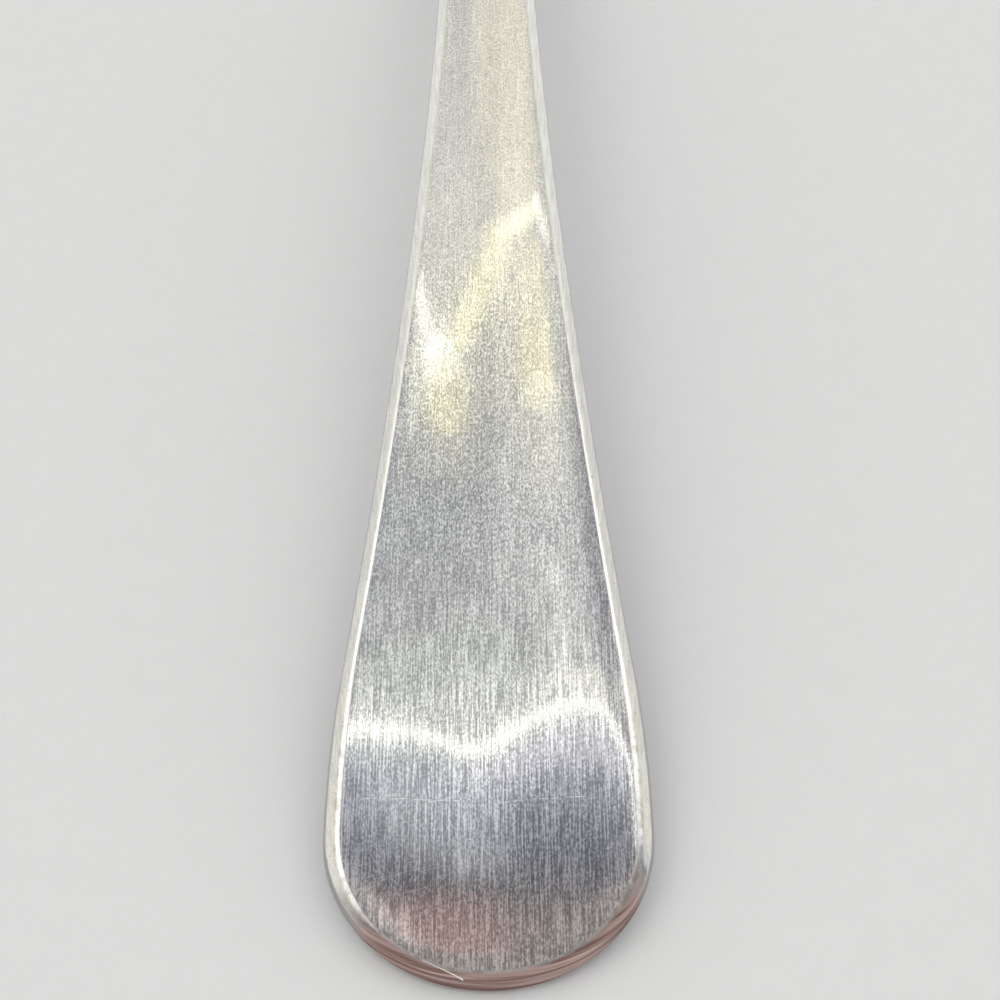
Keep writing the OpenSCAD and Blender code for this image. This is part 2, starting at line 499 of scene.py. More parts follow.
class Skin:
    """The surface of the blank as quads, welded where their corners meet."""

    WELD = 1.0e-8

    def __init__(self) -> None:
        """Starts with no points and no faces."""
        self.points: list[Array] = []
        self.places: dict[tuple[int, ...], int] = {}
        self.faces: list[tuple[int, ...]] = []
        self.regions: list[str] = []
        self.finishes: list[Finish] = []

    def point(self, place: Array) -> int:
        """Adds a point, or welds it to one that is there.

        Args:
            place: X, Y and Z of the point.

        Returns:
            Index of the point.
        """
        key = tuple(int(round(value / self.WELD)) for value in place)
        if key not in self.places:
            self.places[key] = len(self.points)
            self.points.append(place)
        return self.places[key]

    def face(self, corners: tuple[int, ...], region: str, finish: Finish) -> None:
        """Adds a face, without the corners that were welded together.

        Args:
            corners: Indices of its points.
            region: Region of the blank.
            finish: Finish of the face.
        """
        kept = tuple(corner for i, corner in enumerate(corners) if corner != corners[i - 1])
        if len(set(kept)) > 2:
            self.faces.append(kept)
            self.regions.append(region)
            self.finishes.append(finish)

    def tube(self, rings: list[Array], regions: list[str], finishes: list[Finish]) -> list[list[int]]:
        """Adds the faces between closed rings.

        Args:
            rings: Points of each ring, all with the same count.
            regions: Region of the faces between each ring and the next.
            finishes: Finish of the faces between each point of a ring and the next.

        Returns:
            The indices of each ring's points.
        """
        indices = [[self.point(place) for place in ring] for ring in rings]
        for near, far, region in zip(indices, indices[1:], regions):
            for i, finish in enumerate(finishes):
                after = (i + 1) % len(near)
                self.face((near[i], near[after], far[after], far[i]), region, finish)
        return indices

    def normals(self) -> Array:
        """Works out the normals of the points, from the faces round each one and by their area.

        Returns:
            Rows of X, Y and Z, one for each point.
        """
        places = np.array(self.points)
        totals = np.zeros_like(places)
        for face in self.faces:
            corners = places[list(face)]
            across = np.cross(corners[1:-1] - corners[0], corners[2:] - corners[0]).sum(axis=0)
            totals[list(face)] += across
        return unit(totals)


def linked(name: str, data: bpy.types.ID) -> bpy.types.Object:
    """Makes an object and puts it in the scene.

    Args:
        name: Name of the object.
        data: Its mesh, light or camera.

    Returns:
        The object.
    """
    made = bpy.data.objects.new(name, data)
    bpy.context.scene.collection.objects.link(made)
    return made


def set_corner_normals(mesh: bpy.types.Mesh, normals: Array) -> None:
    """Shades a mesh smooth, with a given normal at each corner of each face.

    Args:
        mesh: The mesh.
        normals: Rows of X, Y and Z, in the order of the faces' corners.
    """
    mesh.polygons.foreach_set("use_smooth", [True] * len(mesh.polygons))
    mesh.update()
    mesh.normals_split_custom_set([tuple(normal) for normal in normals])


def set_brush_map(mesh: bpy.types.Mesh) -> None:
    """Lays a map over the mesh whose first axis runs across the brushing.

    Args:
        mesh: The mesh, in the frame.
    """
    layer = mesh.uv_layers.new(name=BRUSH_MAP)
    places = np.zeros(len(mesh.vertices) * 3)
    mesh.vertices.foreach_get("co", places)
    corners = np.zeros(len(mesh.loops), dtype=int)
    mesh.loops.foreach_get("vertex_index", corners)
    flat = places.reshape(-1, 3)[corners, :2]
    layer.data.foreach_set("uv", flat.astype(np.float32).ravel())


def settle(piece: bpy.types.Object, node: str) -> None:
    """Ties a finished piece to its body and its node.

    Args:
        piece: The piece.
        node: Name of the node that it stands for.
    """
    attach(piece, BODY)
    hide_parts(node)
    LOG.info("%s stands for %s with %d faces", piece.name, node, len(piece.data.polygons))


@dataclass
class SteelPiece:
    """One region of the blank as a closed mesh that stands for its node."""

    node: str
    materials: list[bpy.types.Material]
    places: list[Array] = field(default_factory=list)
    faces: list[tuple[int, ...]] = field(default_factory=list)
    finishes: list[Finish] = field(default_factory=list)
    corner_normals: list[Array] = field(default_factory=list)
    known: dict[int, int] = field(default_factory=dict)

    def take(self, skin: Skin, normals: Array) -> None:
        """Takes the faces of this region from the whole skin.

        Args:
            skin: The whole skin.
            normals: Normals of its points.
        """
        for face, region, finish in zip(skin.faces, skin.regions, skin.finishes):
            if region == self.node:
                self.add(skin, face, finish, [normals[corner] for corner in face])

    def cap(self, skin: Skin, ring: list[int], facing: float) -> None:
        """Closes the region with a flat face where it meets its neighbour.

        Args:
            skin: The whole skin.
            ring: Indices of the ring's points.
            facing: 1 for a face towards the points of the tines, -1 for one towards the handle end.
        """
        order = [corner for i, corner in enumerate(ring) if corner != ring[i - 1]]
        order = order if facing > 0.0 else order[::-1]
        self.add(skin, tuple(order), Finish.FACE, [np.array((0.0, facing, 0.0))] * len(order))

    def add(self, skin: Skin, face: tuple[int, ...], finish: Finish, normals: list[Array]) -> None:
        """Adds one face of the skin.

        Args:
            skin: The whole skin.
            face: Indices of the face's points in the skin.
            finish: Finish of the face.
            normals: Normals of its corners.
        """
        for corner in face:
            if corner not in self.known:
                self.known[corner] = len(self.places)
                self.places.append(skin.points[corner])
        self.faces.append(tuple(self.known[corner] for corner in face))
        self.finishes.append(finish)
        self.corner_normals.extend(normals)

    def build(self) -> bpy.types.Object:
        """Makes the piece, dresses it and ties it to its node.

        Returns:
            The piece.
        """
        mesh = bpy.data.meshes.new(self.node + "_skin")
        mesh.from_pydata([tuple(place) for place in self.places], [], self.faces)
        self.dress(mesh)
        piece = linked(self.node + "_steel", mesh)
        settle(piece, self.node)
        return piece

    def dress(self, mesh: bpy.types.Mesh) -> None:
        """Gives the mesh its finishes, its shading and the map of its brushing.

        Args:
            mesh: The mesh of the piece.
        """
        for material in self.materials:
            mesh.materials.append(material)
        mesh.polygons.foreach_set("material_index", [finish.value for finish in self.finishes])
        set_corner_normals(mesh, np.array(self.corner_normals))
        set_brush_map(mesh)


@dataclass(frozen=True)
class Range:
    """A rule that carries one range of numbers smoothly over to another."""

    low: float
    high: float
    to_low: float = 0.0
    to_high: float = 1.0


@dataclass(frozen=True)
class Pattern:
    """A noise: the size of its grains along X, Y and Z, its octaves, its shift and its turn about Z."""

    sizes: Triple
    octaves: float
    shift: float = 0.0
    turn: float = 0.0


class Term:
    """An output in a node tree. Plain arithmetic joins numbers to others through math nodes."""

    def __init__(self, graph: "Graph", socket: bpy.types.NodeSocket) -> None:
        """Holds an output of one of the graph's nodes."""
        self.graph = graph
        self.socket = socket

    def math(self, operation: str, *others: "Term | float", clamp: bool = False) -> "Term":
        """Result of a math node on this number and others."""
        values = dict(enumerate((self, *others)))
        return self.graph.term("ShaderNodeMath", 0, values, operation=operation, use_clamp=clamp)

    def __add__(self, other: "Term | float") -> "Term":
        """The sum."""
        return self.math("ADD", other)

    def __sub__(self, other: "Term | float") -> "Term":
        """The difference."""
        return self.math("SUBTRACT", other)

    def __rsub__(self, other: float) -> "Term":
        """The difference of a plain number and this one."""
        return self.graph.term("ShaderNodeMath", 0, {0: other, 1: self}, operation="SUBTRACT")

    def __mul__(self, other: "Term | float") -> "Term":
        """The product."""
        return self.math("MULTIPLY", other)

    def __truediv__(self, other: "Term | float") -> "Term":
        """The quotient."""
        return self.math("DIVIDE", other)

    def __pow__(self, other: "Term | float") -> "Term":
        """The power."""
        return self.math("POWER", other)

    def root(self) -> "Term":
        """The square root."""
        return self.math("SQRT")

    def held(self) -> "Term":
        """The number, held between 0 and 1."""
        return self.math("ADD", 0.0, clamp=True)

    def ranged(self, rule: Range) -> "Term":
        """The number, carried over to another range."""
        values = {0: self, 1: rule.low, 2: rule.high, 3: rule.to_low, 4: rule.to_high}
        return self.graph.term("ShaderNodeMapRange", 0, values, interpolation_type="SMOOTHSTEP")


Value = Term | float | str | tuple[float, ...] | Vector | bpy.types.Material


def highest(numbers: Iterable[Term]) -> Term:
    """Takes the highest of several numbers.

    Args:
        numbers: The numbers, at least one.

    Returns:
        The highest of them at each place.
    """
    first, *others = numbers
    for other in others:
        first = first.math("MAXIMUM", other)
    return first


class Graph:
    """Adds and joins the nodes of one tree."""

    STROKE_FADE = (0.25, 0.75)

    def __init__(self, tree: bpy.types.NodeTree) -> None:
        """Works on a tree that exists."""
        self.tree = tree

    def node(self, kind: str, inputs: dict[int | str, Value], **settings: bool | str) -> bpy.types.Node:
        """Adds a node, sets its properties and feeds its inputs.

        Args:
            kind: Blender's name for this kind of node.
            inputs: What each input takes, by its place or name: an output or a plain value.
            settings: Properties of the node.

        Returns:
            The node.
        """
        made = self.tree.nodes.new(kind)
        for name, setting in settings.items():
            setattr(made, name, setting)
        for name, value in inputs.items():
            self.feed(made.inputs[name], value)
        return made

    def feed(self, socket: bpy.types.NodeSocket, value: Value) -> None:
        """Joins an input to an output, or sets it to a plain value.

        Args:
            socket: The input.
            value: The output or the plain value.
        """
        if isinstance(value, Term):
            self.tree.links.new(value.socket, socket)
        else:
            socket.default_value = value

    def term(self, kind: str, output: int | str, inputs: dict[int | str, Value],
             **settings: bool | str) -> Term:
        """Adds a node as node() does, and gives one of its outputs by its place or name."""
        return Term(self, self.node(kind, inputs, **settings).outputs[output])

    def parts(self, vector: Term) -> list[Term]:
        """The X, Y and Z of a vector."""
        return [Term(self, socket) for socket in self.node("ShaderNodeSeparateXYZ", {0: vector}).outputs]

    def between(self, share: Value, first: Value, second: Value) -> Term:
        """Mixes two numbers."""
        return self.term("ShaderNodeMix", 0, {0: share, 2: first, 3: second}, data_type="FLOAT")

    def mixed(self, share: Value, first: Value, second: Value) -> Term:
        """Mixes two colours."""
        return self.term("ShaderNodeMix", 2, {0: share, 6: first, 7: second}, data_type="RGBA")

    def layered(self, colour: Term, layers: Iterable[tuple[Term, Value]]) -> Term:
        """Lays colours over a first one, each by its share.

        Args:
            colour: The first colour.
            layers: Shares and colours, from the lowest layer up.

        Returns:
            The colour of all layers together.
        """
        for share, layer in layers:
            colour = self.mixed(share, colour, layer)
        return colour

    def vector(self, operation: str, output: str, *values: Value) -> Term:
        """Result of a vector math node on outputs or plain vectors."""
        return self.term("ShaderNodeVectorMath", output, dict(enumerate(values)), operation=operation)

    def stroke(self, place: Term, start: Vector, finish: Vector, width: float) -> Term:
        """Draws a straight stroke across X and Y.

        Args:
            place: Coordinates in metres.
            start: Where the stroke starts, with no Z.
            finish: Where it ends, with no Z.
            width: Width of the stroke, in metres.

        Returns:
            1 on the stroke and 0 off it.
        """
        run = finish - start
        way = run.normalized()
        flat = self.vector("MULTIPLY", "Vector", place, (1.0, 1.0, 0.0))
        offset = self.vector("SUBTRACT", "Vector", flat, start)
        along = self.vector("DOT_PRODUCT", "Value", offset, way)
        along = along.math("MAXIMUM", 0.0).math("MINIMUM", run.length)
        nearest = self.vector("MULTIPLY", "Vector", along, way)
        off_line = self.vector("DISTANCE", "Value", offset, nearest)
        inner, outer = (share * width for share in self.STROKE_FADE)
        return off_line.ranged(Range(inner, outer, 1.0, 0.0))

    def ramp(self, value: Term, stops: list[tuple[float, Colour]]) -> tuple[Term, Term]:
        """Adds a colour ramp.

        Args:
            value: Where on the ramp, from 0 to 1.
            stops: Places and colours, in order.

        Returns:
            The colour and its alpha.
        """
        made = self.node("ShaderNodeValToRGB", {"Fac": value})
        made.color_ramp.interpolation = "EASE"
        elements = made.color_ramp.elements
        while len(elements) < len(stops):
            elements.new(1.0)
        for element, (at, colour) in zip(elements, stops):
            element.position = at
            element.color = colour
        return Term(self, made.outputs["Color"]), Term(self, made.outputs["Alpha"])


class Surface(Graph):
    """The graph of a material, with its coordinates in metres."""

    NOISE_MIDDLE = 0.5

    def __init__(self, name: str) -> None:
        """Starts a material.

        Args:
            name: Name of the material.
        """
        self.material = bpy.data.materials.new(name)
        self.material.use_nodes = True
        super().__init__(self.material.node_tree)
        self.place = self.term("ShaderNodeTexCoord", "Object", {})

    def noise(self, pattern: Pattern) -> Term:
        """Adds a noise.

        Args:
            pattern: Its grains.

        Returns:
            The noise, from 0 to 1.
        """
        turned = self.term("ShaderNodeVectorRotate", "Vector", {"Vector": self.place, "Angle": pattern.turn},
                           rotation_type="Z_AXIS")
        scaled = self.term("ShaderNodeMapping", "Vector", {
            "Vector": turned,
            "Location": (pattern.shift,) * 3,
            "Scale": tuple(1.0 / size for size in pattern.sizes),
        })
        inputs = {"Vector": scaled, "Scale": 1.0, "Detail": pattern.octaves}
        return self.term("ShaderNodeTexNoise", "Fac", inputs, noise_dimensions="3D")

    def finished(self, looks: dict[str, Value]) -> bpy.types.Material:
        """Feeds the shader and ends the material.

        Args:
            looks: What each input of the shader takes, by its name.

        Returns:
            The material.
        """
        shader = self.tree.nodes["Principled BSDF"]
        for name, value in looks.items():
            self.feed(shader.inputs[name], value)
        return self.material


class Steel(Surface):
    """The graph of a metal, with the station of each place and how far the metal faces up there."""

    def __init__(self, name: str, tip: float) -> None:
        """Starts a metal.

        Args:
            name: Name of the material.
            tip: Y of the tip that stations count from.
        """
        super().__init__(name)
        self.x, y, _ = self.parts(self.place)
        self.station = y - tip
        *_, self.upward = self.parts(self.term("ShaderNodeNewGeometry", "Normal", {}))

    def relief(self, height: Term, depth: float) -> Term:
        """Normal of the metal where its pattern has a given depth."""
        return self.term("ShaderNodeBump", "Normal", {"Strength": 1.0, "Distance": depth, "Height": height})


@dataclass(frozen=True)
class Scratch:
    """A straight scratch on the top of the handle, between two places given as X and station."""

    start: Pair
    finish: Pair
    width: float

    def stroke(self, graph: Graph, place: Term, tip: float) -> Term:
        """Draws the scratch, with the tip of the handle at a given Y."""
        ends = [Vector((x, tip + station, 0.0)) for x, station in (self.start, self.finish)]
        return graph.stroke(place, *ends, self.width)


HANDLE_SCRATCHES = (
    Scratch((-9.4 * MM, 14.1 * MM), (-1.0 * MM, 13.7 * MM), 0.09 * MM),
    Scratch((1.0 * MM, 13.6 * MM), (8.7 * MM, 14.3 * MM), 0.09 * MM),
    Scratch((-7.4 * MM, 21.0 * MM), (-5.6 * MM, 21.5 * MM), 0.06 * MM),
    Scratch((7.6 * MM, 17.1 * MM), (8.2 * MM, 16.1 * MM), 0.1 * MM),
    Scratch((9.3 * MM, 16.6 * MM), (9.7 * MM, 15.9 * MM), 0.1 * MM),
    Scratch((5.6 * MM, 11.8 * MM), (6.1 * MM, 11.0 * MM), 0.1 * MM),
    Scratch((-9.0 * MM, 15.6 * MM), (-8.8 * MM, 15.3 * MM), 0.2 * MM),
    Scratch((-7.9 * MM, 15.3 * MM), (-7.7 * MM, 14.6 * MM), 0.12 * MM),
    Scratch((-8.3 * MM, 42.4 * MM), (-5.7 * MM, 43.9 * MM), 0.07 * MM),
    Scratch((-8.2 * MM, 44.5 * MM), (-7.1 * MM, 44.5 * MM), 0.07 * MM),
    Scratch((-9.5 * MM, 35.0 * MM), (-8.4 * MM, 35.4 * MM), 0.07 * MM),
    Scratch((-9.9 * MM, 33.6 * MM), (-7.2 * MM, 33.9 * MM), 0.07 * MM),
)
RIM_SCRATCH = Scratch((-4.8 * MM, 1.65 * MM), (-1.9 * MM, 0.36 * MM), 0.08 * MM)
STRAY_SIZES = (0.08 * MM, 2.6 * MM, 60.0 * MM)


@dataclass(frozen=True)
class SatinSteel:
    """Steel brushed along the fork, with the scratches and nicks of long use."""

    tip: float
    light: Colour = (0.97, 0.965, 0.945, 1.0)
    dark: Colour = (0.36, 0.36, 0.365, 1.0)
    warm: Colour = (0.64, 0.62, 0.585, 1.0)
    scratch: Colour = (0.88, 0.875, 0.86, 1.0)
    hair: Pattern = Pattern((0.13 * MM, 3.6 * MM, 60.0 * MM), 1.5, shift=5.0)
    long_hair: Pattern = Pattern((0.13 * MM, 18.0 * MM, 60.0 * MM), 1.0, shift=8.0)
    long_hair_share: float = 0.22
    grain: Pattern = Pattern((0.14 * MM, 0.3 * MM, 0.3 * MM), 1.0, shift=11.0)
    hair_share_at: Range = Range(22.0 * MM, 42.0 * MM, 0.62, 0.35)
    band: Pattern = Pattern((2.4 * MM, 70.0 * MM, 60.0 * MM), 1.0, shift=31.0)
    band_tone: Range = Range(0.3, 0.7, 0.43, 0.57)
    contrast_at: Range = Range(12.0 * MM, 36.0 * MM, 5.2, 3.6)
    dullness_at: Range = Range(48.0 * MM, 78.0 * MM, 1.0, 0.5)
    tone_power: float = 1.4
    cloud: Pattern = Pattern((14.0 * MM,) * 3, 2.0, shift=3.0)
    cloud_share: Range = Range(0.45, 0.75, 0.0, 0.2)
    strays: tuple[Pattern, ...] = (
        Pattern(STRAY_SIZES, 0.0, shift=20.55, turn=0.55),
        Pattern(STRAY_SIZES, 0.0, shift=19.1, turn=-0.9),
        Pattern(STRAY_SIZES, 0.0, shift=21.35, turn=1.35),
    )
    stray_share: Range = Range(0.73, 0.8, 0.0, 0.35)
    dash: Pattern = Pattern((0.45 * MM,) * 3, 2.0, shift=40.0)
    dash_share: Range = Range(0.4, 0.56, 0.0, 0.75)
    waver: float = 0.3 * MM
    waver_size: float = 2.0 * MM
    roughness: Range = Range(0.0, 1.0, 0.08, 0.105)
    smoothing_at: Range = Range(22.0 * MM, 42.0 * MM, 1.0, 0.72)
    anisotropy: float = 0.8
    relief: float = 0.0022 * MM
    grain_relief: float = 0.12
    scratch_relief: float = 0.5

    def material(self) -> bpy.types.Material:
        """Builds the satin steel of the faces.

        Returns:
            The material.
        """
        steel = Steel("satin_steel_face", self.tip)
        hair = steel.between(self.long_hair_share, steel.noise(self.hair), steel.noise(self.long_hair))
        grain = steel.noise(self.grain)
        hair_share = steel.station.ranged(self.hair_share_at)
        contrast = steel.station.ranged(self.contrast_at) * steel.station.ranged(self.dullness_at)
        tone = (steel.between(hair_share, grain, hair) - steel.NOISE_MIDDLE) * contrast
        tone = (tone + steel.noise(self.band).ranged(self.band_tone)).held() ** self.tone_power
        strays = (steel.noise(stray).ranged(self.stray_share) for stray in self.strays)
        scratches = highest((self.scratches(steel), *strays))
        colour = steel.layered(steel.mixed(tone, self.dark, self.light), (
            (steel.noise(self.cloud).ranged(self.cloud_share), self.warm),
            (scratches, self.scratch),
        ))
        height = grain * self.grain_relief + hair * hair_share - scratches * self.scratch_relief
        across = steel.term("ShaderNodeTangent", "Tangent", {}, direction_type="UV_MAP", uv_map=BRUSH_MAP)
        return steel.finished({
            "Metallic": 1.0,
            "Base Color": colour,
            "Roughness": tone.ranged(self.roughness) * steel.station.ranged(self.smoothing_at),
            "Anisotropic": self.anisotropy,
            "Normal": steel.relief(height, self.relief),
            "Tangent": across,
        })

    def scratches(self, steel: Steel) -> Term:
        """The scratches of the handle's top face, broken into dashes.

        Args:
            steel: Graph of the material.

        Returns:
            How strong the scratch is, with 0 off the scratches.
        """
        inputs = {"Vector": steel.place, "Scale": 1.0 / self.waver_size}
        waver = steel.term("ShaderNodeTexNoise", "Color", inputs, noise_dimensions="3D")
        shift = steel.vector("SUBTRACT", "Vector", waver, (steel.NOISE_MIDDLE,) * 3)
        wavered = steel.vector("MULTIPLY_ADD", "Vector", shift, (self.waver,) * 3, steel.place)
        lines = highest(scratch.stroke(steel, wavered, self.tip) for scratch in HANDLE_SCRATCHES)
        on_top = steel.upward.math("GREATER_THAN", 0.0)
        return lines * steel.noise(self.dash).ranged(self.dash_share) * on_top


@dataclass(frozen=True)
class PolishedSteel:
    """The buffed steel of the bevels, with painted reflections: darker walls that stand in for the dark
    ground they mirror, and a pink-brown rim at the handle end.
    """

    tip: float
    light: Colour = (0.74, 0.735, 0.72, 1.0)
    dark: Colour = (0.62, 0.615, 0.605, 1.0)
    buff: Pattern = Pattern((0.2 * MM, 3.0 * MM, 0.2 * MM), 2.0)
    buff_tone: Range = Range(0.3, 0.7)
    speck: Colour = (0.4, 0.395, 0.39, 1.0)
    specks: Pattern = Pattern((0.22 * MM,) * 3, 1.0, shift=7.0)
    speck_share: Range = Range(0.62, 0.74, 0.0, 0.5)
    # Painted reflection: walls that face sideways take a darker colour, which stands in for the dark ground
    # they mirror.
    wall_dark_reflection: Colour = (0.43, 0.42, 0.415, 1.0)
    wall_reflection_slant: Range = Range(0.35, 0.6, 1.0, 0.0)
    # Painted reflection: the bevels and walls at the tip of the handle end take a streaked pink-brown colour,
    # which stands in for warm skin tones mirrored there.
    painted_reflection_light: Colour = (0.58, 0.43, 0.4, 1.0)
    painted_reflection_dark: Colour = (0.27, 0.165, 0.145, 1.0)
    painted_reflection_streaks: Pattern = Pattern((9.0 * MM, 9.0 * MM, 0.2 * MM), 2.0, shift=4.0)
    painted_reflection_tone: Range = Range(0.36, 0.64)
    painted_reflection_slant: Range = Range(0.88, 0.97, 1.0, 0.0)
    painted_reflection_at: Range = Range(4.2 * MM, 7.4 * MM, 1.0, 0.0)
    painted_reflection_lean: float = 0.12
    worn: Pattern = Pattern((0.9 * MM,) * 3, 4.0, shift=17.0)
    worn_share: Range = Range(0.44, 0.6, 0.0, 0.8)
    worn_slants: tuple[Range, Range] = (Range(0.86, 0.92), Range(0.92, 0.985, 1.0, 0.6))
    worn_at: Range = Range(17.0 * MM, 23.0 * MM, 1.0, 0.0)
    roughness: Range = Range(0.2, 0.8, 0.1, 0.16)
    relief: float = 0.001 * MM

    def material(self) -> bpy.types.Material:
        """Builds the polished steel of the edges.

        Returns:
            The material.
        """
        steel = Steel("polished_steel_edge", self.tip)
        buff = steel.noise(self.buff)
        slant = steel.upward.math("ABSOLUTE")
        # Painted reflection: mask of the pink-brown rim at the tip of the handle end.
        leaning = steel.station - steel.x * self.painted_reflection_lean
        painted_reflection_share = leaning.ranged(self.painted_reflection_at) * slant.ranged(self.painted_reflection_slant)
        painted_streak_tone = steel.noise(self.painted_reflection_streaks).ranged(self.painted_reflection_tone)
        colour = steel.layered(steel.mixed(buff.ranged(self.buff_tone), self.dark, self.light), (
            (steel.noise(self.specks).ranged(self.speck_share), self.speck),
            # Painted reflection: darker walls for the dark ground they mirror.
            (slant.ranged(self.wall_reflection_slant), self.wall_dark_reflection),
            # Painted reflection: streaked pink-brown rim at the handle end.
            (painted_reflection_share, steel.mixed(painted_streak_tone, self.painted_reflection_dark, self.painted_reflection_light)),
            (self.wear(steel), self.speck),
            (RIM_SCRATCH.stroke(steel, steel.place, self.tip), SatinSteel.scratch),
        ))
        return steel.finished({
            "Metallic": 1.0,
            "Base Color": colour,
            "Roughness": buff.ranged(self.roughness),
            "Normal": steel.relief(buff, self.relief),
        })

    def wear(self, steel: Steel) -> Term:
        """Dulls patches along the worn shoulder of the handle end.

        Args:
            steel: Graph of the material.

        Returns:
            How dull the steel is, with 0 off the patches.
        """
        rising, falling = (steel.upward.ranged(slant) for slant in self.worn_slants)
        patches = steel.noise(self.worn).ranged(self.worn_share)
        return rising * falling * patches * steel.station.ranged(self.worn_at)


@dataclass
class Handle:
    """The handle end, the stem and the neck, up to the root."""

    blank: Blank
    end_steps: int = 44
    side_steps: int = 22
    stem_steps: int = 120
    neck_steps: int = 48

    def stations(self) -> tuple[list[float], list[str]]:
        """Places the sections along the handle.

        Returns:
            Stations of the sections, and the region between each one and the next.
        """
        blank = self.blank
        turns = np.linspace(0.0, math.pi / 2.0, self.end_steps + 1)
        rows = list(blank.end_round * (1.0 - np.cos(turns)))
        regions = ["handle_end"] * self.end_steps
        for region, start, finish, steps in (
            ("handle_end", blank.end_round, blank.stem_start, self.side_steps),
            ("stem", blank.stem_start, blank.neck_start, self.stem_steps),
            ("neck", blank.neck_start, blank.root_start, self.neck_steps),
        ):
            rows += list(np.linspace(start, finish, steps + 1)[1:])
            regions += [region] * steps
        return rows, regions


@dataclass
class Head:
    """The root and its slots, which end in half circles, and the four tines."""

    blank: Blank
    flare_steps: int = 64
    notch_steps: int = 16
    lobe_steps: int = 10
    tine_steps: int = 60
    point_steps: int = 10

    def slot_centres(self) -> list[float]:
        """Centre lines of the slots, left to right."""
        count = self.blank.tine_count - 1
        return [(i - (count - 1) / 2.0) * self.blank.tine_pitch for i in range(count)]

    def across(self) -> Array:
        """Shares of the width at which a section has points, some on the slots' centre lines at the root.

        Returns:
            Shares between the left edge of the top face, at 0, and the right one, at 1.
        """
        blank = self.blank
        inset = blank.edge(blank.tine_start)[0, 0]
        half = float(blank.half_width(blank.tine_start - blank.slot_width / 2.0 - inset)) - inset
        stops = [0.0, *((centre / half + 1.0) / 2.0 for centre in self.slot_centres()), 1.0]
        spans = [np.linspace(low, high, self.lobe_steps + 1)[:-1] for low, high in zip(stops, stops[1:])]
        return np.concatenate(spans)[1:]

    def tine_rows(self) -> Array:
        """Places the sections along a tine, closer together round its point.

        Returns:
            Shares of the tine's length, from 0 at the root to 1 at the point.
        """
        straight = 1.0 - self.blank.point_round / self.blank.tine_length
        turns = np.linspace(0.0, math.pi / 2.0, self.point_steps + 1)[1:]
        return np.concatenate((np.linspace(0.0, straight, self.tine_steps + 1),
                               blend(straight, 1.0, np.sin(turns))))


